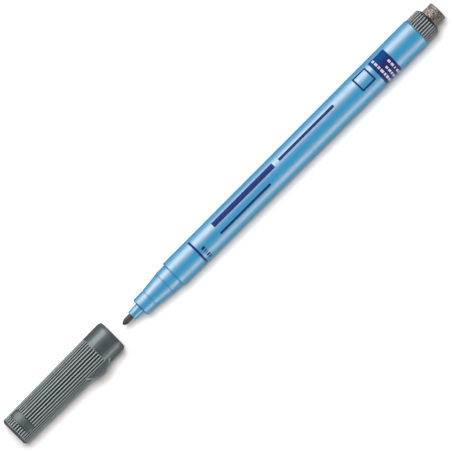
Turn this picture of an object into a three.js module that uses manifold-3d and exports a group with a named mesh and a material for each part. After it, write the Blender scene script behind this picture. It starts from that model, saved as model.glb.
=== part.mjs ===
// A slim fibre-tipped marker with an eraser in its rear end, shown with its ribbed cap pulled off.
// Millimetres, +Z up. Pen and cap lie in line along X, the cap towards -X, the eraser towards +X.
// The origin is on the surface that they lie on, below the middle of their box.
import * as THREE from "three";
import { mergeVertices } from "three/addons/utils/BufferGeometryUtils.js";
import Module from "manifold-3d";

const wasm = await Module();
wasm.setup();

// Turned surfaces have this many flats, with one flat lying on the table
const roundSides = 34;
const nibSides = 18;
const arcSteps = 4;
const ribbedArcSteps = 2; // coarser, because every ring of a ribbed surface has many points
const weldDistance = 1e-4; // closer points of a mesh are one point
const cutOvershoot = 1; // how far a cutting shape stands out of the face that it opens

// Nib: a fibre rod with a bullet point
const nibDiameter = 2.0;
const nibExposed = 3.7;
const nibPointLength = 1.85;
const nibGrip = 6.0; // how far it runs into the reservoir
const nibClearance = 0.06;
const nibEndGap = 0.3;

// Nose of the barrel, from the nib back to the shoulder
const snoutLength = 3.5;
const snoutWall = 0.44;
const snoutDraft = 0.17;
const collarLength = 3.9;
const collarDiameter = 6.1;
const collarDraft = 0.07;
const collarEdgeRadius = 0.3;
const landLength = 0.85;
const landStep = 0.1;
const coneLength = 5.45;
const neckLength = 3.6;
const neckStep = 0.12;
const shoulderStep = 0.55;
const shoulderRadius = 0.3;
const noseWall = 0.95;

// Barrel: one moulding with the nose, open at the rear
const barrelFrontDiameter = 8.85;
const barrelRearDiameter = 9.54;
const barrelLength = 101.9; // shoulder to rear end
const barrelWall = 0.95;
const barrelEndRadius = 0.15;

// Ink reservoir: a fibre core in a film sleeve
const reservoirClearance = 0.12;
const filmThickness = 0.12;
const filmGap = 0.03;
const filmSetback = 1.2; // the core stands out of the film at each end
const reservoirEndGap = 0.1;

// End plug: ribbed outside, pressed into the barrel, with a socket for the eraser
const plugRibs = 30;
const plugLedge = 0.22; // how much smaller than the barrel's end it is
const plugVisibleLength = 5.3;
const plugRibDepth = 0.26;
const plugCrestShare = 0.36; // of the rib pitch
const plugFlankShare = 0.14;
const plugFrontBand = 0.25;
const plugRibRunOut = 0.3;
const plugShoulderLength = 0.95;
const plugMouthWall = 0.2;
const plugStemLength = 8.0;
const plugClearance = 0.08;
const plugSeatGap = 0.05;
const socketWall = 0.5;
const socketDepth = 7.5;
const plugFrontWall = 0.9;
const plugWeb = 1.2; // between the socket and the hollow in front of it

// Eraser: a plain rod that stands out of the plug
const eraserExposed = 3.9;
const eraserClearance = 0.08;
const eraserEdgeRadius = 0.35;
const eraserSeatGap = 0.1;

// Cap, measured from its closed end
const capOpenGap = 4.1; // from its rim to the nib, as it lies
const capOverlap = 9.4; // how far it covers the barrel when it is closed
const capClearance = 0.12;
const capStopGap = 0.15;
const capStopStep = 0.3;
const capRimWall = 0.775;
const capSideWall = 0.9;
const capEndWall = 1.2;
const capCornerRadius = 0.65;
const capLipRadius = 0.45;
const capMouthChamfer = 0.12;
const capRibs = roundSides;
const capRibDepth = 0.28;
const capCrestShare = 0.34;
const capFlankShare = 0.14;
const capEndBand = 0.85; // plain band before the ribs
const capCollarLength = 7.3; // plain band behind them
const capRibRunOut = 0.35;

// Smooth pad with round ends, laid across the ribs near the closed end
const padCentre = 4.1;
const padWidth = 2.7;
const padSpanDegrees = 103;
const padTiltDegrees = -11.6; // from straight up, towards -Y
const padProud = 0.04;
const padRootDepth = 0.2;

// Half-moon lug on the side, which stops the cap from rolling
const lugFromRim = 10.3;
const lugArcRadius = 7.25;
const lugStand = 0.86;
const lugThickness = 3.6;
const lugTopHeight = 3.2; // its flat upper side, above the axis
const lugEdge = 0.22;
const lugRootDepth = 1.9;
const lugArcSteps = 20;

// Inner seal: a soft cup in the cap, whose mouth closes on the nose's collar
const sealClearance = 0.06;
const sealWall = 0.62;
const sealMouthSetback = 1.5; // ahead of the collar's rear edge when closed
const sealMouthChamfer = 0.25;
const sealFloor = 0.8;
const nibAirGap = 2.2; // from the nib to the floor when closed
const sealSkirtLength = 6.7;
const sealFootLength = 1.6;
const sealSideGap = 0.25; // between the cup and the cap around it
const sealFootClearance = 0.06;
const sealSeatGap = 0.05;

const radians = THREE.MathUtils.degToRad;
const lerp = THREE.MathUtils.lerp;

// Places along the axis, from the nib's tip
const collarFront = nibExposed + snoutLength;
const collarRear = collarFront + collarLength;
const landRear = collarRear + landLength;
const coneRear = landRear + coneLength;
const shoulder = coneRear + neckLength;
const barrelRear = shoulder + barrelLength;
const stemFront = barrelRear - plugStemLength;
const plugFront = barrelRear + plugSeatGap;
const plugRear = plugFront + plugVisibleLength;
const eraserRear = plugRear + eraserExposed;

// Radii that follow from the sizes above
const nibRadius = nibDiameter / 2;
const nibBore = nibRadius + nibClearance;
const snoutRadius = nibBore + snoutWall;
const collarRadius = collarDiameter / 2;
const landRadius = collarRadius + landStep;
const neckRadius = barrelFrontDiameter / 2 - shoulderStep;
const neckBore = neckRadius - noseWall;
const barrelRadiusAt = (x) =>
  lerp(barrelFrontDiameter, barrelRearDiameter, (x - shoulder) / barrelLength) / 2;
const barrelBoreAt = (x) => barrelRadiusAt(x) - barrelWall;
const filmRadius = Math.min(barrelBoreAt(shoulder), barrelBoreAt(stemFront)) - reservoirClearance;
const coreRadius = filmRadius - filmThickness - filmGap;
const plugRadius = barrelRearDiameter / 2 - plugLedge;
const socketRadius = barrelBoreAt(stemFront) - plugClearance - socketWall;
const eraserRadius = socketRadius - eraserClearance;

// The cap's sizes follow from what it slides over
const capBore = Math.max(barrelRadiusAt(shoulder), barrelRadiusAt(shoulder + capOverlap)) + capClearance;
const capHeadroom = capEndWall + sealSeatGap + sealSkirtLength + sealFloor + nibAirGap;
const capLength = capHeadroom + shoulder + capOverlap;
const capStop = capLength - capOverlap - capStopGap;
const sealBore = collarRadius + sealClearance;
const sealRadius = sealBore + sealWall;
const capInnerBore = sealRadius + sealSideGap;
const capRimRadius = capBore + capRimWall;
const capEndRadius = capInnerBore + capSideWall;
const capRadiusAt = (x) => lerp(capEndRadius, capRimRadius, x / capLength);

// A stretch of arc in a profile, as points [x, radius]
function arc(centreX, centreRadius, radius, fromDegrees, toDegrees, steps = arcSteps) {
  const points = [];
  for (let step = 0; step <= steps; step += 1) {
    const angle = radians(lerp(fromDegrees, toDegrees, step / steps));
    points.push([centreX + radius * Math.cos(angle), centreRadius + radius * Math.sin(angle)]);
  }
  return points;
}

// Turns a profile of points [x, radius] round the X axis
function revolve(profile, sides = roundSides) {
  const points = profile.map(([x, radius]) => new THREE.Vector2(radius, x));
  const geometry = new THREE.LatheGeometry(points, sides, Math.PI / sides);
  return geometry.rotateZ(-Math.PI / 2);
}

// A point at an angle round the axis, counted from straight up towards -Y
function aroundAxis(x, radius, angle) {
  return new THREE.Vector3(x, -radius * Math.sin(angle), radius * Math.cos(angle));
}

// Skins a row of rings that have equal numbers of points, and closes both ends
function loft(rings) {
  const count = rings[0].length;
  const points = rings.flat();
  const index = [];
  for (let ring = 0; ring + 1 < rings.length; ring += 1) {
    for (let i = 0; i < count; i += 1) {
      const a = ring * count + i;
      const b = ring * count + ((i + 1) % count);
      index.push(a, b, a + count, b, b + count, a + count);
    }
  }
  const last = (rings.length - 1) * count;
  const firstCentre = points.push(centroid(rings[0])) - 1;
  const lastCentre = points.push(centroid(rings.at(-1))) - 1;
  for (let i = 0; i < count; i += 1) {
    const next = (i + 1) % count;
    index.push(firstCentre, next, i);
    index.push(lastCentre, last + i, last + next);
  }
  return new THREE.BufferGeometry().setFromPoints(points).setIndex(index);
}

function centroid(points) {
  const sum = new THREE.Vector3();
  points.forEach((point) => sum.add(point));
  return sum.divideScalar(points.length);
}

// One ring of a ribbed surface: flats with a crest on each corner and a groove sunk between crests
function ribbedRing({ x, radius, depth }, { ribs, crestShare, flankShare }) {
  const pitch = (2 * Math.PI) / ribs;
  const crest = (crestShare * pitch) / 2;
  const floor = crest + flankShare * pitch;
  const onFlat = (offset) => (radius * Math.cos(pitch / 2)) / Math.cos(pitch / 2 - offset);
  const section = [
    [-crest, onFlat(crest)],
    [0, radius],
    [crest, onFlat(crest)],
    [floor, onFlat(floor) - depth],
    [pitch - floor, onFlat(floor) - depth],
  ];
  const ring = [];
  for (let rib = 0; rib < ribs; rib += 1) {
    const centre = (rib + 0.5) * pitch;
    section.forEach(([offset, r]) => ring.push(aroundAxis(x, r, centre + offset)));
  }
  return ring;
}

// Closed mesh to solid and back, for joining and cutting
function toSolid(geometry) {
  const bare = new THREE.BufferGeometry();
  bare.setAttribute("position", geometry.getAttribute("position"));
  bare.setIndex(geometry.getIndex());
  const merged = mergeVertices(bare, weldDistance);
  const vertProperties = merged.getAttribute("position").array;
  const triVerts = new Uint32Array(merged.getIndex().array);
  return new wasm.Manifold(new wasm.Mesh({ numProp: 3, vertProperties, triVerts }));
}

function toGeometry(solid) {
  const { vertProperties, triVerts } = solid.getMesh();
  const geometry = new THREE.BufferGeometry();
  geometry.setAttribute("position", new THREE.BufferAttribute(vertProperties, 3));
  geometry.setIndex(new THREE.BufferAttribute(triVerts, 1));
  return geometry;
}

// Nib: the point is a parabola that runs into the rod without an edge
function nibGeometry() {
  const point = [];
  for (let step = 0; step <= 2 * arcSteps; step += 1) {
    const share = step / (2 * arcSteps);
    point.push([nibPointLength * share, nibRadius * (1 - (1 - share) ** 2)]);
  }
  return revolve([...point, [shoulder + nibGrip, nibRadius], [shoulder + nibGrip, 0]], nibSides);
}

// Barrel and nose: the outside from front to rear, then the inside back to the front
function barrelGeometry() {
  const collarFrontRadius = collarRadius - collarDraft;
  const frontRadius = barrelRadiusAt(shoulder);
  const rearRadius = barrelRadiusAt(barrelRear);
  const outside = [
    [nibExposed, nibBore],
    [nibExposed, snoutRadius],
    [collarFront, snoutRadius + snoutDraft],
    ...arc(collarFront + collarEdgeRadius, collarFrontRadius - collarEdgeRadius, collarEdgeRadius, 180, 90),
    [collarRear, collarRadius],
    [collarRear, landRadius],
    [landRear, landRadius],
    [coneRear, neckRadius - neckStep],
    [coneRear, neckRadius],
    [shoulder, neckRadius],
    ...arc(shoulder + shoulderRadius, frontRadius - shoulderRadius, shoulderRadius, 180, 90),
    ...arc(barrelRear - barrelEndRadius, rearRadius - barrelEndRadius, barrelEndRadius, 90, 0),
  ];
  const inside = [
    [barrelRear, barrelBoreAt(barrelRear)],
    [shoulder, barrelBoreAt(shoulder)],
    [shoulder, neckBore],
    [coneRear, neckBore],
    [landRear, landRadius - noseWall],
    [collarFront + noseWall, collarRadius - noseWall],
    [collarFront, nibBore],
    [nibExposed, nibBore],
  ];
  return revolve([...outside, ...inside]);
}

// Reservoir: the core has a blind hole for the nib and stands out of its film
const coreFront = shoulder + reservoirEndGap;
const coreRear = stemFront - reservoirEndGap;

function coreGeometry() {
  const holeEnd = shoulder + nibGrip + nibEndGap;
  return revolve([
    [holeEnd, 0],
    [holeEnd, nibBore],
    [coreFront, nibBore],
    [coreFront, coreRadius],
    [coreRear, coreRadius],
    [coreRear, 0],
  ]);
}

function filmGeometry() {
  const front = coreFront + filmSetback;
  const rear = coreRear - filmSetback;
  const inner = coreRadius + filmGap;
  return revolve([
    [front, inner],
    [front, filmRadius],
    [rear, filmRadius],
    [rear, inner],
    [front, inner],
  ]);
}

// End plug: a ribbed head, joined to a tapered stem, less the socket and the front hollow
function plugGeometry() {
  const ribs = { ribs: plugRibs, crestShare: plugCrestShare, flankShare: plugFlankShare };
  const shoulderFront = plugRear - plugShoulderLength;
  const mouthRadius = socketRadius + plugMouthWall;
  const drop = plugRadius - mouthRadius;
  const stations = [
    { x: plugFront, radius: plugRadius, depth: 0 },
    { x: plugFront + plugFrontBand, radius: plugRadius, depth: 0 },
    { x: plugFront + plugFrontBand + plugRibRunOut, radius: plugRadius, depth: plugRibDepth },
    { x: shoulderFront, radius: plugRadius, depth: plugRibDepth },
  ];
  for (let step = 1; step <= ribbedArcSteps; step += 1) {
    const angle = radians((90 * step) / ribbedArcSteps);
    stations.push({
      x: shoulderFront + plugShoulderLength * Math.sin(angle),
      radius: mouthRadius + drop * Math.cos(angle),
      depth: 0,
    });
  }
  const head = toSolid(loft(stations.map((station) => ribbedRing(station, ribs))));
  const stem = revolve([
    [stemFront, 0],
    [stemFront, barrelBoreAt(stemFront) - plugClearance],
    [barrelRear, barrelBoreAt(barrelRear) - plugClearance],
    [plugFront + plugFrontBand, barrelBoreAt(barrelRear) - plugClearance],
    [plugFront + plugFrontBand, 0],
  ]);
  const socketFloor = plugRear - socketDepth;
  const socket = revolve([
    [socketFloor, 0],
    [socketFloor, socketRadius],
    [plugRear + cutOvershoot, socketRadius],
    [plugRear + cutOvershoot, 0],
  ]);
  const hollowRadius = barrelBoreAt(stemFront) - plugClearance - plugFrontWall;
  const hollow = revolve([
    [stemFront - cutOvershoot, 0],
    [stemFront - cutOvershoot, hollowRadius],
    [socketFloor - plugWeb, hollowRadius],
    [socketFloor - plugWeb, 0],
  ]);
  const whole = head.add(toSolid(stem));
  return toGeometry(whole.subtract(toSolid(socket)).subtract(toSolid(hollow)));
}

function eraserGeometry() {
  const front = plugRear - socketDepth + eraserSeatGap;
  const edgeX = eraserRear - eraserEdgeRadius;
  return revolve([
    [front, 0],
    [front, eraserRadius],
    ...arc(edgeX, eraserRadius - eraserEdgeRadius, eraserEdgeRadius, 90, 0),
    [eraserRear, 0],
  ]);
}

// Outside of the cap: tapered, ribbed between two plain bands, rounded at both ends
function capOutside() {
  const ribStart = capEndBand;
  const ribEnd = capLength - capCollarLength;
  const plain = ([x, radius]) => ({ x, radius, depth: 0 });
  const lipX = capLength - capLipRadius;
  const cornerCentre = capEndRadius - capCornerRadius;
  const lipCentre = capRadiusAt(lipX) - capLipRadius;
  const corner = arc(capCornerRadius, cornerCentre, capCornerRadius, 180, 90, ribbedArcSteps);
  const lip = arc(lipX, lipCentre, capLipRadius, 90, 0, ribbedArcSteps);
  const stations = [
    ...corner.map(plain),
    plain([ribStart, capRadiusAt(ribStart)]),
    { x: ribStart + capRibRunOut, radius: capRadiusAt(ribStart + capRibRunOut), depth: capRibDepth },
    { x: ribEnd - capRibRunOut, radius: capRadiusAt(ribEnd - capRibRunOut), depth: capRibDepth },
    plain([ribEnd, capRadiusAt(ribEnd)]),
    ...lip.map(plain),
  ];
  const ribs = { ribs: capRibs, crestShare: capCrestShare, flankShare: capFlankShare };
  return toSolid(loft(stations.map((station) => ribbedRing(station, ribs))));
}

// The pad is a row of cross sections round the cap, narrowed to half circles at both ends
function capPad() {
  const halfWidth = padWidth / 2;
  const halfSpan = radians(padSpanDegrees) / 2;
  const endAngle = halfWidth / capRadiusAt(padCentre);
  const straight = halfSpan - endAngle;
  const sections = [];
  for (let step = -arcSteps + 0.5; step <= 0; step += 1) {
    const turn = (step / arcSteps) * (Math.PI / 2);
    sections.push([-straight + endAngle * Math.sin(turn), halfWidth * Math.cos(turn)]);
  }
  const straightSteps = Math.ceil((2 * straight) / (Math.PI / capRibs));
  for (let step = 0; step <= straightSteps; step += 1) {
    sections.push([lerp(-straight, straight, step / straightSteps), halfWidth]);
  }
  for (let step = 0.5; step < arcSteps; step += 1) {
    const turn = (step / arcSteps) * (Math.PI / 2);
    sections.push([straight + endAngle * Math.sin(turn), halfWidth * Math.cos(turn)]);
  }
  const rings = sections.map(([offset, half]) => {
    const angle = radians(padTiltDegrees) + offset;
    const corner = (x, lift) => aroundAxis(x, capRadiusAt(x) + lift, angle);
    const near = padCentre - half;
    const far = padCentre + half;
    const root = -capRibDepth - padRootDepth;
    return [corner(near, root), corner(far, root), corner(far, padProud), corner(near, padProud)];
  });
  return toSolid(loft(rings));
}

// The lug is a slice of a disc that lies flat, sunk into the cap's side, with eased rims
function capLug() {
  const centreX = capLength - lugFromRim;
  const side = capRadiusAt(centreX);
  const discCentreY = lugArcRadius - side - lugStand;
  const halfAngle = Math.acos((discCentreY + side - lugRootDepth) / lugArcRadius);
  const slice = (z, radius) => {
    const ring = [];
    for (let step = 0; step <= lugArcSteps; step += 1) {
      const angle = lerp(-halfAngle, halfAngle, step / lugArcSteps);
      const x = centreX + radius * Math.sin(angle);
      ring.push(new THREE.Vector3(x, discCentreY - radius * Math.cos(angle), z));
    }
    return ring;
  };
  const bottom = lugTopHeight - lugThickness;
  return toSolid(
    loft([
      slice(bottom, lugArcRadius - lugEdge),
      slice(bottom + lugEdge, lugArcRadius),
      slice(lugTopHeight - lugEdge, lugArcRadius),
      slice(lugTopHeight, lugArcRadius - lugEdge),
    ]),
  );
}

// Inside of the cap: narrow round the seal, with a step that meets the barrel's shoulder
function capHollow() {
  const stopBore = Math.max(capInnerBore, capBore - capStopStep);
  return toSolid(
    revolve([
      [capEndWall, 0],
      [capEndWall, capInnerBore],
      [capStop, stopBore],
      [capStop, capBore],
      [capLength - capMouthChamfer, capBore],
      [capLength, capBore + capMouthChamfer],
      [capLength + cutOvershoot, capBore + capMouthChamfer],
      [capLength + cutOvershoot, 0],
    ]),
  );
}

function capShellGeometry() {
  return toGeometry(capOutside().add(capPad()).add(capLug()).subtract(capHollow()));
}

// Inner seal: a cup towards the nib and a skirt behind its floor, whose foot grips the cap
function sealGeometry() {
  const foot = capEndWall + sealSeatGap;
  const floorRear = foot + sealSkirtLength;
  const floorFront = floorRear + sealFloor;
  const mouth = floorFront + nibAirGap + collarRear - sealMouthSetback;
  const footRadius = capInnerBore - sealFootClearance;
  return revolve([
    [floorRear, 0],
    [floorRear, sealBore],
    [foot, sealBore],
    [foot, footRadius],
    [foot + sealFootLength, footRadius],
    [foot + sealFootLength + sealSideGap, sealRadius],
    [mouth, sealRadius],
    [mouth, sealBore + sealMouthChamfer],
    [mouth - sealMouthChamfer, sealBore],
    [floorFront, sealBore],
    [floorFront, 0],
  ]);
}

function piece(name, geometry, color, roughness) {
  const material = new THREE.MeshStandardMaterial({ color, roughness, metalness: 0 });
  const mesh = new THREE.Mesh(geometry, material);
  mesh.name = name;
  return mesh;
}

const pen = new THREE.Group();
pen.add(piece("nib", nibGeometry(), 0x3a3a3c, 0.9));
pen.add(piece("barrel", barrelGeometry(), 0x66b4dd, 0.35));
pen.add(piece("reservoir_core", coreGeometry(), 0xd8d5cc, 0.95));
pen.add(piece("reservoir_film", filmGeometry(), 0xe6eaee, 0.3));
pen.add(piece("end_plug", plugGeometry(), 0x4f5654, 0.5));
pen.add(piece("eraser", eraserGeometry(), 0xa39588, 0.95));

const cap = new THREE.Group();
cap.add(piece("cap_shell", capShellGeometry(), 0x555f60, 0.45));
cap.add(piece("cap_inner_seal", sealGeometry(), 0xdfe2e0, 0.5));
// It closes by sliding capOpenGap + shoulder + capOverlap towards the pen
cap.position.x = -(capOpenGap + capLength);

// Stand the row on its surface, with the origin below the middle of its box
const capWidest = capRadiusAt(capLength - capLipRadius);
const lugReach = capRadiusAt(capLength - lugFromRim) + lugStand;
const row = new THREE.Group();
row.add(pen, cap);
row.position.set(
  (capOpenGap + capLength - eraserRear) / 2,
  (lugReach - capWidest) / 2,
  capWidest * Math.cos(Math.PI / capRibs),
);
const marker = new THREE.Group();
marker.add(row);

export default marker;
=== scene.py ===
# %% [markdown]
# # A slim marker with an eraser end
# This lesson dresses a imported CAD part: a round marker that lies in line with its pulled-off cap. The
# CAD model is the frame. It gives every piece its place, and the simulation keeps it. The pieces made
# here are what one sees: rounder, with finer ribs and eased edges, and with a finish of their own.
# Everything is in metres, and the pen lies along X with its nib towards -X.

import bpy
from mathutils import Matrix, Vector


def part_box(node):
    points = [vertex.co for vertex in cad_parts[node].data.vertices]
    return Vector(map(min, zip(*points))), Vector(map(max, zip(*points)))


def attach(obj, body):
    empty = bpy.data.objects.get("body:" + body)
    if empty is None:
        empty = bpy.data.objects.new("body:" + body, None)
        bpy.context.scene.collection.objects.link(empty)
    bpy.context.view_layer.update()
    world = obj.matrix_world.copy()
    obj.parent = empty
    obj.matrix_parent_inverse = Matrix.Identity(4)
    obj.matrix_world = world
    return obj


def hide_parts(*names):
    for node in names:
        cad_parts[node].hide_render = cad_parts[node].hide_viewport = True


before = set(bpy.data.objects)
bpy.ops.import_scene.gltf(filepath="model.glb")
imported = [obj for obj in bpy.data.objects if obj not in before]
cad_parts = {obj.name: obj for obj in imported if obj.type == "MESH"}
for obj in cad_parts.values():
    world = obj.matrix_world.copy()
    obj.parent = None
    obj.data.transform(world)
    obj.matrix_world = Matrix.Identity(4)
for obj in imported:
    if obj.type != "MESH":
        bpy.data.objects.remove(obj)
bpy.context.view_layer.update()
print("nodes:", sorted(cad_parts))

# %% The tools of the lesson
import math

import bmesh
import bpy
from mathutils import Matrix, Vector

# %% [markdown]
# ## Where things are
# The pen is a row of turned pieces on one axis, so a place on it needs only three numbers: how far
# along, how far out, and at which angle. Pen pieces are measured from the nib's tip, and cap pieces
# from the cap's closed end. Both starts come from the frame's own boxes, so nothing has to be fitted.

# %% The axis and the two starting points
MM = 0.001
nib_low, nib_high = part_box("nib")
AXIS = (nib_low + nib_high) / 2
AXIS.x = 0
PEN_START = nib_low.x
CAP_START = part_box("cap_shell")[0].x
print(f"axis at y {AXIS.y / MM:.3f} mm, z {AXIS.z / MM:.3f} mm")
print(f"nib tip at x {PEN_START / MM:.2f} mm, closed end at x {CAP_START / MM:.2f} mm")


# %% A place beside the axis
def beside_axis(start, along, radius, degrees=0.0):
    """The point at some mm along and out from the axis, at an angle from straight up towards -Y."""
    angle = math.radians(degrees)
    x = start + along * MM
    return AXIS + Vector((x, -radius * MM * math.sin(angle), radius * MM * math.cos(angle)))


def place_of(point):
    """The same three numbers for a point: metres along X, mm from the axis, degrees round it."""
    across = point - AXIS
    return point.x, math.hypot(across.y, across.z) / MM, math.degrees(math.atan2(-across.y, across.z))


# %% [markdown]
# ## Working as by hand
# An operator acts on all that is selected, and the frame arrives selected. So each step begins by
# letting go of everything, and what an operator should act on is then picked by its place.

# %% Let go, take hold and pick
def let_go():
    if bpy.context.mode != "OBJECT":
        bpy.ops.object.mode_set(mode="OBJECT")
    bpy.ops.object.select_all(action="DESELECT")


def take(piece, mode="OBJECT"):
    let_go()
    piece.select_set(True)
    bpy.context.view_layer.objects.active = piece
    bpy.ops.object.mode_set(mode=mode)
    return piece


def pick(piece, wanted):
    """Selects the vertices whose place (x, radius, degrees) passes the test, and counts them."""
    bpy.ops.mesh.select_mode(type="VERT")
    bpy.ops.mesh.select_all(action="DESELECT")
    mesh = bmesh.from_edit_mesh(piece.data)
    for vertex in mesh.verts:
        vertex.select = bool(wanted(*place_of(vertex.co)))
    mesh.select_flush_mode()
    bmesh.update_edit_mesh(piece.data)
    return sum(vertex.select for vertex in mesh.verts)


# %% Finish with a modifier
def modify(piece, kind, **settings):
    """Adds a modifier, sets it, and applies it."""
    take(piece)
    bpy.ops.object.modifier_add(type=kind)
    modifier = piece.modifiers[-1]
    for setting, value in settings.items():
        setattr(modifier, setting, value)
    bpy.ops.object.modifier_apply(modifier=modifier.name)


# %% [markdown]
# ## Turned pieces
# Nib, barrel, eraser and seal are round, so each is drawn as half an outline and turned round the
# axis, as on a lathe. One vertex is put at the first corner and extruded from corner to corner. A
# corner with a third number is then rounded by a vertex bevel of that size, because no moulded edge is
# quite sharp and a rounded one catches the light. A spin makes the solid. It leaves doubles at its
# seam and on the axis, so these are merged before the normals are turned outwards.

# %% Draw a half outline
ROUND_STEPS = 4
WELD = 1e-6


def draw_outline(name, start, corners, degrees=0.0):
    let_go()
    bpy.ops.mesh.primitive_plane_add(size=MM, location=(0, 0, 0))
    piece = bpy.context.object
    piece.name = piece.data.name = name
    bpy.ops.object.mode_set(mode="EDIT")
    bpy.ops.mesh.select_mode(type="VERT")
    bpy.ops.mesh.merge(type="CENTER")
    places = [beside_axis(start, corner[0], corner[1], degrees) for corner in corners]
    bpy.ops.transform.translate(value=places[0])
    for before, after in zip(places, places[1:]):
        bpy.ops.mesh.extrude_vertices_move(TRANSFORM_OT_translate={"value": after - before})
    for corner, place in zip(corners, places):
        if len(corner) > 2:
            ease_corner(piece, place, corner[2])
    return piece


def ease_corner(piece, place, ease):
    bpy.ops.mesh.select_all(action="DESELECT")
    mesh = bmesh.from_edit_mesh(piece.data)
    nearest = min(mesh.verts, key=lambda vertex: (vertex.co - place).length)
    nearest.select = True
    mesh.select_flush_mode()
    bmesh.update_edit_mesh(piece.data)
    bpy.ops.mesh.bevel(offset=ease * MM, segments=ROUND_STEPS, affect="VERTICES")


# %% Turn it, close it and smooth it
TURN_STEPS = 144
SHARP = math.radians(32)


def spin(degrees, steps, copies=False):
    """Spins all of the piece. The angle is negative because the operator counts the other way round."""
    bpy.ops.mesh.select_all(action="SELECT")
    bpy.ops.mesh.spin(
        steps=steps, angle=-math.radians(degrees), dupli=copies, center=AXIS, axis=(1, 0, 0)
    )


def close_skin():
    bpy.ops.mesh.select_all(action="SELECT")
    bpy.ops.mesh.remove_doubles(threshold=WELD)
    bpy.ops.mesh.normals_make_consistent(inside=False)


def smooth(piece):
    take(piece)
    bpy.ops.object.shade_smooth_by_angle(angle=SHARP)
    print(f"{piece.name}: {len(piece.data.polygons)} faces")
    return piece


def turned(name, start, corners, steps=TURN_STEPS):
    piece = draw_outline(name, start, corners)
    spin(360, steps)
    close_skin()
    return smooth(piece)


# %% Check a skin
def report_skin(piece):
    """Counts the open or doubled edges and measures the volume, which is negative if inside out."""
    take(piece)
    mesh = bmesh.new()
    mesh.from_mesh(piece.data)
    open_edges = sum(1 for edge in mesh.edges if len(edge.link_faces) != 2)
    volume = mesh.calc_volume(signed=True) / MM**3
    mesh.free()
    print(f"{piece.name}: {open_edges} open edges, {volume:.1f} mm3")


# %% [markdown]
# ## Nib
# The nib is a rod of bonded fibre that is ground to a point. The point runs into the rod without an
# edge and is nearly straight towards its tip. It is drawn with many short steps, closest at the tip.

# %% Turn the nib
NIB_RADIUS = 1.0
NIB_POINT = 1.85
NIB_LENGTH = 27.0
NIB_REAR_EASE = 0.1
NIB_TURN_STEPS = 72
POINT_STEPS = 18
POINT_CROWDING = 1.6
POINT_SHARPNESS = 0.7


def point_corner(step):
    share = (step / POINT_STEPS) ** POINT_CROWDING
    return NIB_POINT * share, NIB_RADIUS * (1 - (1 - share) ** 2) ** POINT_SHARPNESS


nib_corners = [point_corner(step) for step in range(POINT_STEPS + 1)]
nib_corners += [(NIB_LENGTH, NIB_RADIUS, NIB_REAR_EASE), (NIB_LENGTH, 0)]
nib = turned("nib_rod", PEN_START, nib_corners, steps=NIB_TURN_STEPS)
report_skin(nib)
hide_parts("nib")
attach(nib, "pen")

# %% [markdown]
# ## Barrel and nose
# The light blue barrel is one moulding with its stepped nose: a thin snout round the nib, the collar
# that the cap's seal closes on, a narrow land, a cone, a neck, and the shoulder that the cap stops
# against. It tapers slightly towards the nib, so that it leaves its mould. It could be stacked from
# cylinders, but then every step would be a seam, so it is one outline that goes along the outside and
# comes back along the inside. Between the steps of the nose lie fine grooves, which show as thin dark
# rings. A place on the outline is its mm along and its radius, and a third number is its rounding.

# %% Steps of the nose
GROOVE_EASE, STEP_EASE, EDGE_EASE, LAND_EASE = 0.03, 0.05, 0.06, 0.1
SNOUT_EASE, COLLAR_EASE = 0.14, 0.34
SNOUT_FRONT, SNOUT_REAR = (3.7, 1.5), (7.02, 1.66)
COLLAR_FRONT, COLLAR_REAR = (7.2, 2.98), (11.04, 3.05)
LAND_FRONT, LAND_REAR = (11.31, 3.15), (11.95, 3.15)
CONE_REAR = (17.28, 3.742)
NECK_FRONT, NECK_REAR = (17.48, 3.875), (20.8, 3.875)
SNOUT_ROOT, SNOUT_ROOT_RADIUS = 7.08, 1.58
COLLAR_GROOVE = [(11.09, 2.92, GROOVE_EASE), (11.25, 2.92, GROOVE_EASE)]
CONE_GROOVE = [(17.32, 3.65, GROOVE_EASE), (17.44, 3.65, GROOVE_EASE)]
NECK_ROOT, NECK_ROOT_RADIUS = 20.84, 3.79
NIB_BORE = 1.06
NOSE_HOLLOW = [(17.4, 2.925), (11.95, 2.2), (8.15, 2.1)]
print(f"nose: {SNOUT_FRONT[0]} to {NECK_REAR[0]} mm from the nib's tip")

# %% Turn the barrel
SHOULDER = 21.0
BARREL_REAR = 122.9
FRONT_RADIUS = 4.425
REAR_RADIUS = 4.77
BARREL_WALL = 0.95
SHOULDER_EASE, REAR_EASE, REAR_BORE_EASE = 0.32, 0.16, 0.12


def barrel_radius(along):
    share = (along - SHOULDER) / (BARREL_REAR - SHOULDER)
    return FRONT_RADIUS + (REAR_RADIUS - FRONT_RADIUS) * share


nose_outside = [
    (SNOUT_FRONT[0], NIB_BORE, EDGE_EASE), (*SNOUT_FRONT, SNOUT_EASE), (*SNOUT_REAR, GROOVE_EASE),
    (SNOUT_ROOT, SNOUT_ROOT_RADIUS, GROOVE_EASE), (COLLAR_FRONT[0], SNOUT_ROOT_RADIUS),
    (*COLLAR_FRONT, COLLAR_EASE), (*COLLAR_REAR, STEP_EASE), *COLLAR_GROOVE,
    (*LAND_FRONT, STEP_EASE), (*LAND_REAR, LAND_EASE), (*CONE_REAR, STEP_EASE), *CONE_GROOVE,
    (*NECK_FRONT, EDGE_EASE), (*NECK_REAR, STEP_EASE),
    (NECK_ROOT, NECK_ROOT_RADIUS, GROOVE_EASE), (SHOULDER, NECK_ROOT_RADIUS),
]
barrel_outside = [(SHOULDER, FRONT_RADIUS, SHOULDER_EASE), (BARREL_REAR, REAR_RADIUS, REAR_EASE)]
barrel_inside = [
    (BARREL_REAR, REAR_RADIUS - BARREL_WALL, REAR_BORE_EASE), (SHOULDER, FRONT_RADIUS - BARREL_WALL),
    (SHOULDER, NOSE_HOLLOW[0][1]), *NOSE_HOLLOW, (COLLAR_FRONT[0], NIB_BORE), (SNOUT_FRONT[0], NIB_BORE),
]
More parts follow.
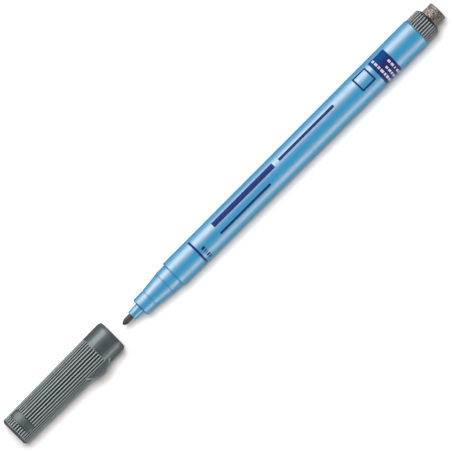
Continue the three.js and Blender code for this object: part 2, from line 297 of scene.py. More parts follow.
barrel = turned("barrel_moulding", PEN_START, nose_outside + barrel_outside + barrel_inside)
report_skin(barrel)
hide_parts("barrel")
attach(barrel, "pen")

# %% [markdown]
# ## Ribbed pieces
# The end plug and the cap have fine ribs all round. A rib is modelled once, on a narrow slice of the
# piece, and the slice is then copied round the axis. The slice is the half outline spun through one
# rib's pitch. Its groove is pressed in with a few passes, on a band that gets narrower and shorter, so
# that the groove has a round floor and runs out softly at both ends. A pass scales what it holds
# towards the axis, which keeps the slice's two sides on their planes, so the copies meet.

# %% Press a groove into a slice
OUTSIDE_SHARE = 0.9
NEARLY = 1e-3
SLICE_COLUMNS = 12


def press_groove(piece, start, crest_degrees, pitch, ribbed_mm, passes, outside):
    """A pass is (share of the pitch left to the crest, mm in from the ribs' ends, mm deep)."""
    for crest_share, inset, depth in passes:

        def in_groove(x, radius, degrees):
            along = (x - start) / MM
            turn = (degrees - crest_degrees + pitch / 2) % pitch - pitch / 2
            return (
                radius > OUTSIDE_SHARE * outside(along)
                and ribbed_mm[0] + inset - NEARLY < along < ribbed_mm[1] - inset + NEARLY
                and abs(turn) > crest_share * pitch - NEARLY
            )

        count = pick(piece, in_groove)
        mesh = bmesh.from_edit_mesh(piece.data)
        radii = [place_of(vertex.co)[1] for vertex in mesh.verts if vertex.select]
        scale = 1 - depth / (sum(radii) / len(radii))
        bpy.ops.transform.resize(value=(1, scale, scale), center_override=AXIS)
    print(f"{piece.name}: the last pass moved {count} corners")


def ribbed(name, start, corners, crest_degrees, ribs, ribbed_mm, passes, outside):
    pitch = 360 / ribs
    piece = draw_outline(name, start, corners, crest_degrees - pitch / 2)
    spin(pitch, SLICE_COLUMNS)
    close_skin()
    press_groove(piece, start, crest_degrees, pitch, ribbed_mm, passes, outside)
    spin(pitch * (ribs - 1), ribs - 1, copies=True)
    close_skin()
    return piece


def run_out(first, last, radius_at, steps):
    """Corners along the ribs: close together at both ends, where the grooves run out."""
    places = [first + step for step in steps] + [last - step for step in reversed(steps)]
    return [(place, radius_at(place)) for place in places]


# %% [markdown]
# ## End plug
# The plug closes the barrel's rear end and holds the eraser. It has 30 ribs for the fingernails,
# which run out on its chamfer. Its stem and socket are hidden once it is pressed in, and are drawn in
# the same outline.

# %% Model the end plug
PLUG_FRONT = 122.95
PLUG_REAR = 128.25
PLUG_RADIUS = 4.55
PLUG_CHAMFER_FROM = 127.5
PLUG_CHAMFER_TO_RADIUS = 3.3
PLUG_RIBS = 30
PLUG_CREST = -3.7
PLUG_RIBBED = (123.15, 127.8)
PLUG_RUN_OUT = [0.0, 0.1, 0.2, 0.3]
PLUG_EASE, PLUG_REAR_EASE, SOCKET_EASE = 0.1, 0.03, 0.02
STEM_FRONT, STEM_REAR = 114.9, 122.8
STEM_RADIUS, STEM_ROOT_RADIUS, STEM_EASE = 3.74, 3.8, 0.3
SOCKET_FLOOR, SOCKET_RADIUS = 120.75, 3.2129
PLUG_PASSES = [
    (0.08, 0.0, 0.012), (0.16, 0.1, 0.05), (0.24, 0.1, 0.12), (0.33, 0.2, 0.12), (0.41, 0.3, 0.05),
]


def plug_radius(along):
    share = (along - PLUG_CHAMFER_FROM) / (PLUG_REAR - PLUG_CHAMFER_FROM)
    return PLUG_RADIUS - (PLUG_RADIUS - PLUG_CHAMFER_TO_RADIUS) * max(0, share)


plug_corners = [
    (STEM_FRONT, 0), (STEM_FRONT, STEM_RADIUS, STEM_EASE), (STEM_REAR, STEM_RADIUS),
    (PLUG_FRONT, STEM_ROOT_RADIUS), (PLUG_FRONT, PLUG_RADIUS, PLUG_EASE),
]
plug_corners += run_out(*PLUG_RIBBED, plug_radius, PLUG_RUN_OUT)
plug_corners += [
    (PLUG_REAR, PLUG_CHAMFER_TO_RADIUS, PLUG_REAR_EASE), (PLUG_REAR, SOCKET_RADIUS, SOCKET_EASE),
    (SOCKET_FLOOR, SOCKET_RADIUS), (SOCKET_FLOOR, 0),
]
plug = ribbed(
    "end_plug_ribbed", PEN_START, plug_corners, PLUG_CREST, PLUG_RIBS, PLUG_RIBBED, PLUG_PASSES,
    plug_radius,
)
smooth(plug)
report_skin(plug)
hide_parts("end_plug")
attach(plug, "pen")

# %% [markdown]
# ## Eraser
# The eraser is a short rod of dense felt. A smooth rod would read as rubber, so its skin is given
# small pits and tufts: the rod is drawn with many corners, and a Displace modifier moves them in and
# out by a few hundredths of a millimetre, as a fine cloud pattern says.

# %% Turn the eraser
ERASER_FRONT = 120.9
ERASER_REAR = 132.15
ERASER_RADIUS = 3.1129
PRESSED_IN_TO = 127.6
FELT_EDGE = 0.4
FELT_EDGE_STEPS = 5
FACE_AT = ERASER_REAR - 0.04
FELT_CELL = 0.11
FELT_TURN_STEPS = 168

side_to = ERASER_REAR - FELT_EDGE
face_radius = ERASER_RADIUS - FELT_EDGE
face_rings = math.ceil(face_radius / FELT_CELL)
side_rings = math.ceil((side_to - PLUG_REAR) / FELT_CELL)
eraser_corners = [(ERASER_FRONT, 0), (ERASER_FRONT, ERASER_RADIUS), (PRESSED_IN_TO, ERASER_RADIUS)]
eraser_corners += [
    (PLUG_REAR + (side_to - PLUG_REAR) * ring / side_rings, ERASER_RADIUS)
    for ring in range(side_rings + 1)
]
for step in range(1, FELT_EDGE_STEPS + 1):
    turn = math.radians(90 * step / FELT_EDGE_STEPS)
    eraser_corners.append(
        (side_to + (FACE_AT - side_to) * math.sin(turn), face_radius + FELT_EDGE * math.cos(turn))
    )
eraser_corners += [
    (FACE_AT, face_radius * (1 - ring / face_rings)) for ring in range(1, face_rings + 1)
]
eraser = turned("eraser_felt", PEN_START, eraser_corners, steps=FELT_TURN_STEPS)

# %% Roughen the felt
FELT_DEPTH = 0.09
FELT_MIDDLE = 0.62
PIT_SIZE = 0.42
PIT_DETAIL = 3

felt_pits = bpy.data.textures.new("felt_pits", type="CLOUDS")
felt_pits.noise_scale = PIT_SIZE * MM
felt_pits.noise_depth = PIT_DETAIL
modify(
    eraser, "DISPLACE", texture=felt_pits, texture_coords="LOCAL", strength=FELT_DEPTH * MM,
    mid_level=FELT_MIDDLE,
)
report_skin(eraser)
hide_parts("eraser")
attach(eraser, "pen")

# %% [markdown]
# ## Cap
# The cap is a dark moulding that widens from its closed end to its rim. It has a narrow plain band at
# the closed end, then 34 ribs, then a smooth collar with a slightly drawn-in lip. Inside is the bore
# that the barrel fills, a step that the shoulder stops against, and a narrower bore for the seal.

# %% Sizes of the cap's outside
CAP_LENGTH = 41.35
CAP_END_RADIUS = 4.86
CAP_RIM_RADIUS = 5.331
CAP_RIBS = 34
CAP_CREST = 3.0
CAP_RIBBED = (0.85, 34.05)
CAP_RUN_OUT = [0.0, 0.1, 0.2, 0.3, 1.0]
CAP_PASSES = [
    (0.08, 0.0, 0.012), (0.16, 0.1, 0.05), (0.24, 0.1, 0.13), (0.33, 0.2, 0.14), (0.41, 0.3, 0.06),
]


def cap_radius(along):
    return CAP_END_RADIUS + (CAP_RIM_RADIUS - CAP_END_RADIUS) * along / CAP_LENGTH


print(f"cap: {CAP_LENGTH} mm long, {CAP_RIBS} ribs of {math.tau * CAP_END_RADIUS / CAP_RIBS:.2f} mm")

# %% Spin and press the cap's slices
CAP_CHAMFER = 0.62
CHAMFER_EASE, CHAMFER_TO_EASE = 0.15, 0.12
LIP_FROM, LIP_STEP_TO, LIP_STEP = 40.28, 40.33, 0.06
LIP_EASE, LIP_STEP_EASE = 0.04, 0.02
LIP_TURN, LIP_TURN_RADIUS, LIP_TURN_EASE = 41.0, 5.1, 0.2
MOUTH_RADIUS, MOUTH_EASE = 4.85, 0.1
LEAD_IN_RADIUS, LEAD_IN_TO, LEAD_IN_EASE = 4.68, 41.23, 0.05
BORE_RADIUS, BORE_TO = 4.577, 31.8
SEAL_BORE_RADIUS, SEAL_BORE_END_RADIUS = 4.277, 3.98
CAP_FLOOR = 1.2

cap_corners = [
    (0, 0), (0, cap_radius(0) - CAP_CHAMFER, CHAMFER_EASE),
    (CAP_CHAMFER, cap_radius(CAP_CHAMFER), CHAMFER_TO_EASE),
]
cap_corners += run_out(*CAP_RIBBED, cap_radius, CAP_RUN_OUT)
cap_corners += [
    (LIP_FROM, cap_radius(LIP_FROM), LIP_EASE),
    (LIP_STEP_TO, cap_radius(LIP_STEP_TO) - LIP_STEP, LIP_STEP_EASE),
    (LIP_TURN, LIP_TURN_RADIUS, LIP_TURN_EASE), (CAP_LENGTH, MOUTH_RADIUS, MOUTH_EASE),
    (CAP_LENGTH, LEAD_IN_RADIUS, LEAD_IN_EASE), (LEAD_IN_TO, BORE_RADIUS, LEAD_IN_EASE),
    (BORE_TO, BORE_RADIUS), (BORE_TO, SEAL_BORE_RADIUS), (CAP_FLOOR, SEAL_BORE_END_RADIUS),
    (CAP_FLOOR, 0),
]
cap = ribbed(
    "cap_moulding", CAP_START, cap_corners, CAP_CREST, CAP_RIBS, CAP_RIBBED, CAP_PASSES, cap_radius
)
report_skin(cap)

# %% [markdown]
# ## Pad of the cap
# Near the closed end a smooth pad with round ends lies across the ribs. An edge is spun to a curved
# strip, and the strip is then shaped column by column: its ends are narrowed to half circles, and it
# is drawn inwards to an arc a little flatter than the cap's, so that its ends lie deeper than its
# middle. Solidify gives it a wall. Made once a little larger, it is the cutter that clears the ribs
# away round the pad, and made again at its own size and with an eased rim, it is the pad.

# %% Give a strip a wall, inwards
def give_wall(piece, thickness):
    """An open strip has no inside, so its faces are tested, and turned outwards if need be."""
    close_skin()
    mesh = bmesh.from_edit_mesh(piece.data)
    face = next(iter(mesh.faces))
    outwards = face.calc_center_median() - AXIS
    outwards.x = 0
    if face.normal.dot(outwards) < 0:
        bpy.ops.mesh.flip_normals()
    modify(piece, "SOLIDIFY", thickness=thickness * MM, offset=-1)


# %% A curved strip with round ends
PAD_CENTRE = 4.25
PAD_HALF_WIDTH = 1.24
PAD_FROM, PAD_TO = -63.1, 39.9
PAD_COLUMNS = 128
PAD_ARC_RADIUS = 5.8
PAD_SINK = 0.3


def flatter(radius, degrees_off):
    """The radius, at an angle off the pad's middle, of an arc that is flatter than the cap's."""
    turn = math.radians(degrees_off)
    behind = PAD_ARC_RADIUS - (radius - PAD_SINK)
    return math.sqrt(PAD_ARC_RADIUS**2 - (behind * math.sin(turn)) ** 2) - behind * math.cos(turn)


def curved_pad(name, margin, top, bottom):
    half = PAD_HALF_WIDTH + margin
    reach = math.degrees(margin / cap_radius(PAD_CENTRE))
    first, last = PAD_FROM - reach, PAD_TO + reach
    ends = [(PAD_CENTRE + side * half, cap_radius(PAD_CENTRE + side * half) + top) for side in (-1, 1)]
    piece = draw_outline(name, CAP_START, ends, first)
    spin(last - first, PAD_COLUMNS)
    round_end = math.degrees(half / cap_radius(PAD_CENTRE))
    step = (last - first) / PAD_COLUMNS
    centre = beside_axis(CAP_START, PAD_CENTRE, 0)
    for column in range(PAD_COLUMNS + 1):
        degrees = first + column * step
        past = max(0.0, first + round_end - degrees, degrees - last + round_end) / round_end
        narrow = math.sqrt(max(0.0, 1 - past * past))
        radius = cap_radius(PAD_CENTRE) + top
        inwards = flatter(radius, degrees - (first + last) / 2) / radius
        pick(piece, lambda x, radius, turn: abs(turn - degrees) < step / 4)
        bpy.ops.transform.resize(value=(narrow, inwards, inwards), center_override=centre)
    give_wall(piece, top - bottom)
    report_skin(piece)
    return piece


# %% Make the cutter and the pad
PAD_MARGIN = 0.28
CUTTER_TOP, CUTTER_BOTTOM = 0.6, -0.2
PAD_TOP, PAD_BOTTOM = 0.05, -0.42
PAD_EASE = 0.07
PAD_EASE_STEPS = 3
PAD_RIM_ANGLE = math.radians(50)

pad_cutter = curved_pad("pad_cutter", PAD_MARGIN, CUTTER_TOP, CUTTER_BOTTOM)
pad = curved_pad("cap_pad", 0.0, PAD_TOP, PAD_BOTTOM)
modify(pad, "BEVEL", width=PAD_EASE * MM, segments=PAD_EASE_STEPS, angle_limit=PAD_RIM_ANGLE)
report_skin(pad)

# %% [markdown]
# ## Lug of the cap
# A half-moon lug on the side stops the cap from rolling. It is a slice of a flat disc: a cylinder is
# added with its axis upright, a bisect cuts its top to a slight slope, both rims are bevelled, and a
# second bisect keeps only the side that stands out of the cap. A Boolean modifier then takes away what
# would reach through the cap's wall into its bore.

# %% Take one piece away from another, or join them
def combine(piece, other, operation):
    modify(piece, "BOOLEAN", operation=operation, solver="EXACT", object=other)
    take(other)
    bpy.ops.object.delete()


# %% Cut away one side of a plane
CUT_WELD = WELD / 10


def cut_away(point, normal):
    """Cuts all of the piece, takes away the side that the normal points to, and closes the cut."""
    bpy.ops.mesh.select_all(action="SELECT")
    bpy.ops.mesh.bisect(
        plane_co=point, plane_no=normal, use_fill=True, clear_outer=True, threshold=CUT_WELD
    )


# %% Cut the lug from a disc
LUG_CENTRE = CAP_LENGTH - 10.1
LUG_RADIUS = 7.25
LUG_TOP, LUG_BOTTOM = 4.4, -0.4
LUG_SLOPE = math.radians(18)
LUG_SLOPE_OUT, LUG_SLOPE_UP = 4.03, 3.3
LUG_STAND = 0.84
LUG_EASE = 0.2
LUG_ROOT = 2.2
DISC_STEPS = 240
LEVEL_ENOUGH = 0.5

let_go()
lug_side = cap_radius(LUG_CENTRE)
disc_centre = AXIS + Vector((
    CAP_START + LUG_CENTRE * MM,
    (LUG_RADIUS - lug_side - LUG_STAND) * MM,
    (LUG_TOP + LUG_BOTTOM) / 2 * MM,
))
bpy.ops.mesh.primitive_cylinder_add(
    vertices=DISC_STEPS, radius=LUG_RADIUS * MM, depth=(LUG_TOP - LUG_BOTTOM) * MM, location=disc_centre
)
lug = bpy.context.object
lug.name = lug.data.name = "cap_lug"
bpy.ops.object.transform_apply(location=True)
take(lug, "EDIT")
slope_point = AXIS + Vector((0, -LUG_SLOPE_OUT, LUG_SLOPE_UP)) * MM
cut_away(slope_point, (0, -math.sin(LUG_SLOPE), math.cos(LUG_SLOPE)))
bpy.ops.mesh.select_mode(type="FACE")
bpy.ops.mesh.select_all(action="DESELECT")
lug_mesh = bmesh.from_edit_mesh(lug.data)
for face in lug_mesh.faces:
    face.select = abs(face.normal.z) > LEVEL_ENOUGH
bmesh.update_edit_mesh(lug.data)
bpy.ops.mesh.bevel(offset=LUG_EASE * MM, segments=ROUND_STEPS, affect="EDGES")
cut_away(AXIS - Vector((0, (lug_side - LUG_ROOT) * MM, 0)), (0, 1, 0))

# %% Clear the bore behind the lug
LUG_WITHIN_WALL = 4.75
BORE_REACH = 4 * LUG_RADIUS

let_go()
bpy.ops.mesh.primitive_cylinder_add(
    vertices=TURN_STEPS, radius=LUG_WITHIN_WALL * MM, depth=BORE_REACH * MM,
    location=AXIS + Vector((CAP_START + LUG_CENTRE * MM, 0, 0)), rotation=(0, math.pi / 2, 0),
)
bore = bpy.context.object
bpy.ops.object.transform_apply(location=True, rotation=True)
combine(lug, bore, "DIFFERENCE")
report_skin(lug)

# %% [markdown]
# ## One moulding
# Pad and lug aren't glued on: the mould forms them with the cap. So the ribs round the pad are cleared
# away first, and then the pad and the lug are joined to the body.

# %% Clear, then join
combine(cap, pad_cutter, "DIFFERENCE")
combine(cap, pad, "UNION")
combine(cap, lug, "UNION")
smooth(cap)
report_skin(cap)
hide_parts("cap_shell")
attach(cap, "cap")

# %% [markdown]
# ## Inner seal
# Deep in the cap sits a soft cup of pale plastic. Its mouth closes on the nose's collar, so that the
# nib doesn't dry out, and the skirt behind its floor grips the cap. It shows through the cap's mouth.

# %% Turn the seal
SEAL_RADIUS, SEAL_BORE = 3.73, 3.11
SEAL_FLOOR_FROM, SEAL_FLOOR_TO = 7.95, 8.75
SKIRT_FRONT, SKIRT_REAR, SKIRT_RUN_OUT, SKIRT_RADIUS = 1.25, 2.85, 3.1, 3.92
SEAL_MOUTH, SEAL_MOUTH_BORE, SEAL_LEAD_IN_TO = 20.55, 3.36, 20.3
SEAL_EASE, RUN_OUT_EASE, SEAL_LIP_EASE, FLOOR_EASE = 0.1, 0.05, 0.2, 0.4

seal_corners = [
    (SEAL_FLOOR_FROM, 0), (SEAL_FLOOR_FROM, SEAL_BORE), (SKIRT_FRONT, SEAL_BORE),
    (SKIRT_FRONT, SKIRT_RADIUS, SEAL_EASE), (SKIRT_REAR, SKIRT_RADIUS, SEAL_EASE),
    (SKIRT_RUN_OUT, SEAL_RADIUS, RUN_OUT_EASE), (SEAL_MOUTH, SEAL_RADIUS, SEAL_LIP_EASE),
    (SEAL_MOUTH, SEAL_MOUTH_BORE, SEAL_EASE), (SEAL_LEAD_IN_TO, SEAL_BORE, SEAL_EASE),
    (SEAL_FLOOR_TO, SEAL_BORE, FLOOR_EASE), (SEAL_FLOOR_TO, 0),
]
seal = turned("seal_cup", CAP_START, seal_corners)
report_skin(seal)
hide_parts("cap_inner_seal")
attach(seal, "cap")

# %% [markdown]
# ## Print
# The barrel carries dark blue pad printing. Real ink is a film with a thickness, and a mark made in
# the material alone would blur when the pattern is baked. So each mark is a strip of its own: an edge
# on the barrel is spun through the mark's angle and given a wall of three hundredths of a millimetre.
# The marks are plain ones: a ring line that shows how far the cap slides on, three stripes, an open
# frame, and a filled label. Rows of short dashes stand beside the ring and, in pale ink, on the label.

# %% A printed strip
INK_LIFT = 0.014
INK_WALL = 0.03
INK_STEP = 1.5


def printed(name, from_mm, to_mm, from_degrees, to_degrees, open_frame=0.0, lift=INK_LIFT):
    on_barrel = [(along, barrel_radius(along) + lift) for along in (from_mm, to_mm)]
    mark = draw_outline(name, PEN_START, on_barrel, from_degrees)
    span = to_degrees - from_degrees
    spin(span, math.ceil(span / INK_STEP))
    close_skin()
    if open_frame:
        bpy.ops.mesh.select_all(action="SELECT")
        bpy.ops.mesh.inset(thickness=open_frame * MM)
        bpy.ops.mesh.delete(type="FACE")
    give_wall(mark, INK_WALL)
    smooth(mark)
    report_skin(mark)
    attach(mark, "pen")
    return mark


def printed_row(name, from_mm, to_mm, dashes, lift=INK_LIFT):
    """A row of dashes round the barrel, joined to one piece."""
    row = [printed(f"{name}_{first}", from_mm, to_mm, first, last, lift=lift) for first, last in dashes]
    take(row[0])
    for dash in row[1:]:
        dash.select_set(True)
    bpy.ops.object.join()
    row[0].name = row[0].data.name = name
    return row[0]


# %% Print the marks
# Each mark has its mm along the pen, from and to, and its degrees round it, from and to.
LINES = {
    "print_ring": (30.42, 31.12, -52, 148),
    "print_stripe_bold": (39.4, 64.7, -38, -15),
    "print_stripe_fine": (39.4, 60.2, 13, 22),
    "print_stripe_rear": (66.9, 89.8, -31, -19),
}
OPEN_FRAME = (98.9, 104.3, -47, 18)
FRAME_LINE = 0.55
DASHES = (32.05, 33.3, [(5, 15), (20, 24), (29, 33), (38, 48), (53, 63)])

marks = [printed(name, *place) for name, place in LINES.items()]
marks.append(printed("print_frame", *OPEN_FRAME, open_frame=FRAME_LINE))
marks.append(printed_row("print_dashes", *DASHES))
print(f"dark blue marks: {len(marks)}")

# %% Print the label and its rows
LABEL = (105.65, 112.05, -47.5, 104)
PALE_LIFT = 0.022
PALE_ROWS = {
    "print_label_row_front": (
        106.8, 107.6, [(-42, -32), (-27, -14), (-9, 0), (5, 20), (25, 33), (38, 52), (57, 69), (74, 90)],
    ),
    "print_label_row_middle": (108.6, 109.3, [(10, 20), (25, 38), (43, 52), (57, 72), (77, 90)]),
    "print_label_row_rear": (110.35, 111.1, [(-2, 10), (15, 28), (36, 40), (50, 64), (69, 90)]),
}

label = printed("print_label", *LABEL)
pale_marks = [printed_row(name, *row, lift=PALE_LIFT) for name, row in PALE_ROWS.items()]
print(f"pale rows: {len(pale_marks)}")

# %% [markdown]
# ## Finishes
# A plastic isn't one colour. It has a grain from its mould, a slight mottle of pigment, and places that
# are a little smoother than others. Each finish below is made of such patterns, at the size they really
# have: they read Object coordinates, in metres, so a noise scale of 1000 makes features of about a
# millimetre. A pattern is written as its scale and its detail, and cells as their scale alone. Colours
# go in pairs, from deep to light. What is the same all over is set on the shader itself.

# %% Helpers for finishes
def new_finish(name, roughness, **constants):
    finish = bpy.data.materials.new(name)
    finish.use_nodes = True
    shader = finish.node_tree.nodes["Principled BSDF"]
    shader.inputs["Roughness"].default_value = roughness
    for socket, value in constants.items():
        shader.inputs[socket.replace("_", " ")].default_value = value
    return finish, shader


def add_node(tree, kind, **inputs):
    """Adds a node to a tree. What comes out of a node knows the node's tree as its id_data."""
    node = tree.nodes.new(f"ShaderNode{kind}")
    for socket, value in inputs.items():
        set_or_link(node.inputs[socket.replace("_", " ")], value)
    return node


def set_or_link(socket, value):
    if isinstance(value, bpy.types.NodeSocket):
        socket.id_data.links.new(value, socket)
    else:
        socket.default_value = value


# %% Places on a piece
def own_places(finish):
    """The piece's own coordinates, in metres."""
    return add_node(finish.node_tree, "TexCoord").outputs["Object"]


def mapped(vector, scale=(1, 1, 1), shift=(0, 0, 0)):
    node = add_node(vector.id_data, "Mapping", Vector=vector, Scale=scale, Location=shift)
    return node.outputs[0]


def sideways_place(finish):
    """How far a place lies towards +Y, in metres."""
    return add_node(finish.node_tree, "SeparateXYZ", Vector=own_places(finish)).outputs["Y"]


def length_of(vector):
    measure = add_node(vector.id_data, "VectorMath", Vector=vector)
    measure.operation = "LENGTH"
    return measure.outputs["Value"]


# %% Patterns
def spread(value, low, high, start=0.3, end=0.7):
    """Stretches a pattern: start becomes low, end becomes high."""
    limits = {"From_Min": start, "From_Max": end, "To_Min": low, "To_Max": high}
    return add_node(value.id_data, "MapRange", Value=value, **limits).outputs[0]


def pattern(finish, scale, detail=2.0, stretch=(1, 1, 1)):
    """A noise on the piece's own coordinates, as a grey value about 0.5."""
    places = mapped(own_places(finish), stretch)
    noise = add_node(finish.node_tree, "TexNoise", Vector=places, Scale=scale, Detail=detail)
    return noise.outputs["Fac"]


def cells(finish, scale, strength):
    """Little cells, each with a random grey value of its own, from zero to the strength."""
    voronoi = add_node(finish.node_tree, "TexVoronoi", Vector=own_places(finish), Scale=scale)
    grey = add_node(finish.node_tree, "SeparateColor", Color=voronoi.outputs["Color"])
    return spread(grey.outputs[0], 0, strength, 0, 1)


# %% Mix and put on
def mix_colours(share, first, second):
    mix = add_node(share.id_data, "Mix")
    mix.data_type = "RGBA"
    for socket, value in (("Factor_Float", share), ("A_Color", first), ("B_Color", second)):
        set_or_link(next(s for s in mix.inputs if s.identifier == socket), value)
    return next(s for s in mix.outputs if s.identifier == "Result_Color")


def combine_values(operation, first, second):
    """Reckons with two values. The first comes out of a node, the second may be a number."""
    result = add_node(first.id_data, "Math")
    result.operation = operation
    set_or_link(result.inputs[0], first)
    set_or_link(result.inputs[1], second)
    return result.outputs[0]


def add_values(first, second):
    return combine_values("ADD", first, second)


def multiply(first, second):
    return combine_values("MULTIPLY", first, second)


def put_on(shader, colour, roughness, height, depth_mm):
    """Gives the shader its colour, its roughness, and a relief of some mm."""
    bump = add_node(height.id_data, "Bump", Height=height, Distance=depth_mm * MM)
    set_or_link(shader.inputs["Base Color"], colour)
    set_or_link(shader.inputs["Roughness"], roughness)
    set_or_link(shader.inputs["Normal"], bump.outputs[0])


def dress(finish, *pieces):
    for piece in pieces:
        piece.data.materials.clear()
        piece.data.materials.append(finish)
    print(f"{finish.name}: {', '.join(piece.name for piece in pieces)}")


# %% [markdown]
# ## Pearl blue barrel
# The barrel's plastic holds fine pearl flakes, which the melt drew out along the pen. They make the
# blue shimmer by a few percent, and they give a broader and stronger gloss than plain plastic has, so
# the specular level is high and the roughness middling. The flakes lie under a skin of clear blue. The
# shader's coat is that skin: its tint deepens where one looks along the surface, so the outlines turn
# to a deep blue, as they do on the real pen. The relief is the faint orange peel of a mould.

# %% Barrel finish
PEARL_BLUES = (0.003, 0.238, 0.39, 1), (0.008, 0.272, 0.445, 1)
PEARL_SHEEN = (1.0, 0.38, 0.24, 1)
PEARL_SKIN = (0.47, 0.85, 0.97, 1)
CLEAR_SKIN = {"Coat_Weight": 1.0, "Coat_Roughness": 0.6, "Coat_IOR": 1.06}
PEARL_ROUGHNESS = 0.46
FLAKES, FLAKE_SHARE = 6500, 0.45
FLOW, FLOW_SHARE, DRAWN_OUT = (900, 3), 0.55, (0.12, 1, 1)
SATIN, SATIN_ROUGHNESS = (350, 2), (0.43, 0.49)
ORANGE_PEEL, PEEL_RELIEF = (1400, 2), 0.0025

pearl, shader = new_finish(
    "pearl_blue", PEARL_ROUGHNESS, IOR=1.93, Specular_IOR_Level=1.0, Specular_Tint=PEARL_SHEEN,
    Coat_Tint=PEARL_SKIN, **CLEAR_SKIN,
)
flakes = cells(pearl, FLAKES, FLAKE_SHARE)
flow = spread(pattern(pearl, *FLOW, stretch=DRAWN_OUT), 0, FLOW_SHARE)
blue = mix_colours(add_values(flakes, flow), *PEARL_BLUES)
satin = spread(pattern(pearl, *SATIN), *SATIN_ROUGHNESS)
put_on(shader, blue, satin, pattern(pearl, *ORANGE_PEEL), PEEL_RELIEF)
dress(pearl, barrel)

# %% [markdown]
# ## Pad-printed ink
# The ink lies on the pearl as a thin film: dark blue, a little uneven, with pinholes where the pad
# didn't touch. The label's broad film turns to a clearer blue on its side towards +Y, as a painted
# highlight. The rows on the label are a pale ink of the same kind.

# %% An ink
# Where the label's painted highlight lies: a clearer blue towards +Y.
HIGHLIGHT_SIDE_FROM, HIGHLIGHT_SIDE_TO = AXIS.y - 0.2 * MM, AXIS.y + 2.6 * MM
HIGHLIGHT_SIDE_SHARE = 0.95
INK_ROUGHNESS, INK_CLOUDS = 0.5, (2500, 4)
HOLES, HOLE_SHARE, HOLE_FROM, HOLE_TO = (5200, 1), 0.5, 0.7, 0.8
GLOSS, GLOSS_ROUGHNESS = (1800, 3), (0.44, 0.58)
INK_GRAIN, INK_RELIEF = (4000, 3), 0.003


def printing_ink(name, inks, under, sheen, painted_highlight=None):
    finish, shader = new_finish(name, INK_ROUGHNESS, Specular_IOR_Level=0.15, Specular_Tint=sheen)
    cloudy = spread(pattern(finish, *INK_CLOUDS), 0, 1)
    pinholes = spread(pattern(finish, *HOLES), 0, HOLE_SHARE, HOLE_FROM, HOLE_TO)
    ink = mix_colours(pinholes, mix_colours(cloudy, *inks), under)
    # Painted highlight: the label's ink turns to a clearer blue towards +Y.
    if painted_highlight:
        highlight_share = spread(sideways_place(finish), 0, HIGHLIGHT_SIDE_SHARE, HIGHLIGHT_SIDE_FROM, HIGHLIGHT_SIDE_TO)
        ink = mix_colours(highlight_share, ink, painted_highlight)
    gloss = spread(pattern(finish, *GLOSS), *GLOSS_ROUGHNESS)
    put_on(shader, ink, gloss, pattern(finish, *INK_GRAIN), INK_RELIEF)
    return finish


# %% Ink finishes
BARREL_THROUGH_INK = (0.04, 0.13, 0.34, 1)
LABEL_THROUGH_INK = (0.05, 0.05, 0.16, 1)
NAVY_INKS = (0.013, 0.01, 0.068, 1), (0.021, 0.017, 0.1, 1)
NAVY_SHEEN = (0, 0.4, 1, 1)
# The colour of the label's painted highlight.
NAVY_PAINTED_HIGHLIGHT = (0.001, 0.03, 0.12, 1)
PALE_INKS = (0.36, 0.36, 0.47, 1), (0.5, 0.49, 0.58, 1)
PALE_SHEEN = (1, 1, 1, 1)

navy = printing_ink("navy_ink", NAVY_INKS, BARREL_THROUGH_INK, NAVY_SHEEN)
broad = printing_ink("label_ink", NAVY_INKS, BARREL_THROUGH_INK, NAVY_SHEEN, NAVY_PAINTED_HIGHLIGHT)
pale = printing_ink("pale_ink", PALE_INKS, LABEL_THROUGH_INK, PALE_SHEEN)
dress(navy, *marks)
dress(broad, label)
dress(pale, *pale_marks)

# %% [markdown]
# ## Dark grey-green plastic
# Cap and plug are moulded in a spark-eroded mould, which leaves an even, fine grain. It spreads the
# highlights without hiding them. The ribs' crests and the lug's rim are painted pale as a painted
# highlight, and the grooves are painted dark as painted shade. Both depend on how deep a place lies
# below the crests, worked out from its coordinates, so the painted highlight and shade follow every rib.
# Pad and lug are a little rougher.

# %% Where a place lies under the crests
def under_crests(finish, start, outline):
    """A place from the start in mm, its mm along, its angle, and its depth below the crests' line."""
    (first, first_radius), (last, last_radius) = outline
    to_start = (-start / MM, -AXIS.y / MM, -AXIS.z / MM)
    in_mm = mapped(own_places(finish), (1 / MM, 1 / MM, 1 / MM), to_start)
    split = add_node(finish.node_tree, "SeparateXYZ", Vector=in_mm)
    along = split.outputs["X"]
    turn = combine_values("ARCTAN2", multiply(split.outputs["Y"], -1), split.outputs["Z"])
    out = length_of(mapped(in_mm, (0, 1, 1)))
    crests = spread(along, first_radius, last_radius, first, last)
    return in_mm, along, turn, combine_values("SUBTRACT", crests, out)


# %% Where the painted highlight goes
PATCH_SOFT, PATCH_SOFT_TURN = 0.05, 0.01
# Sizes of the painted highlight on the lug's rim.
RIM_HIGHLIGHT_IN, RIM_HIGHLIGHT_OUT, RIM_HIGHLIGHT_SOFT = 0.34, 0.1, 0.08
TIPS_FROM, TIPS_TO = math.radians(54), math.radians(60)
RIM_HIGHLIGHT_UNDER_SHARE = 0.12
BEYOND_CRESTS = -0.1


def within(value, low, high, soft):
    """One between low and high, and zero outside."""
    above = spread(value, 0, 1, low - soft, low)
    below = spread(value, 1, 0, high, high + soft)
    return multiply(above, below)


def patch(along, turn, from_mm, to_mm, from_degrees, to_degrees):
    """One on a patch of the piece's side, and zero beside it."""
    inside = within(along, from_mm, to_mm, PATCH_SOFT)
    first, last = math.radians(from_degrees), math.radians(to_degrees)
    return multiply(inside, within(turn, first, last, PATCH_SOFT_TURN))


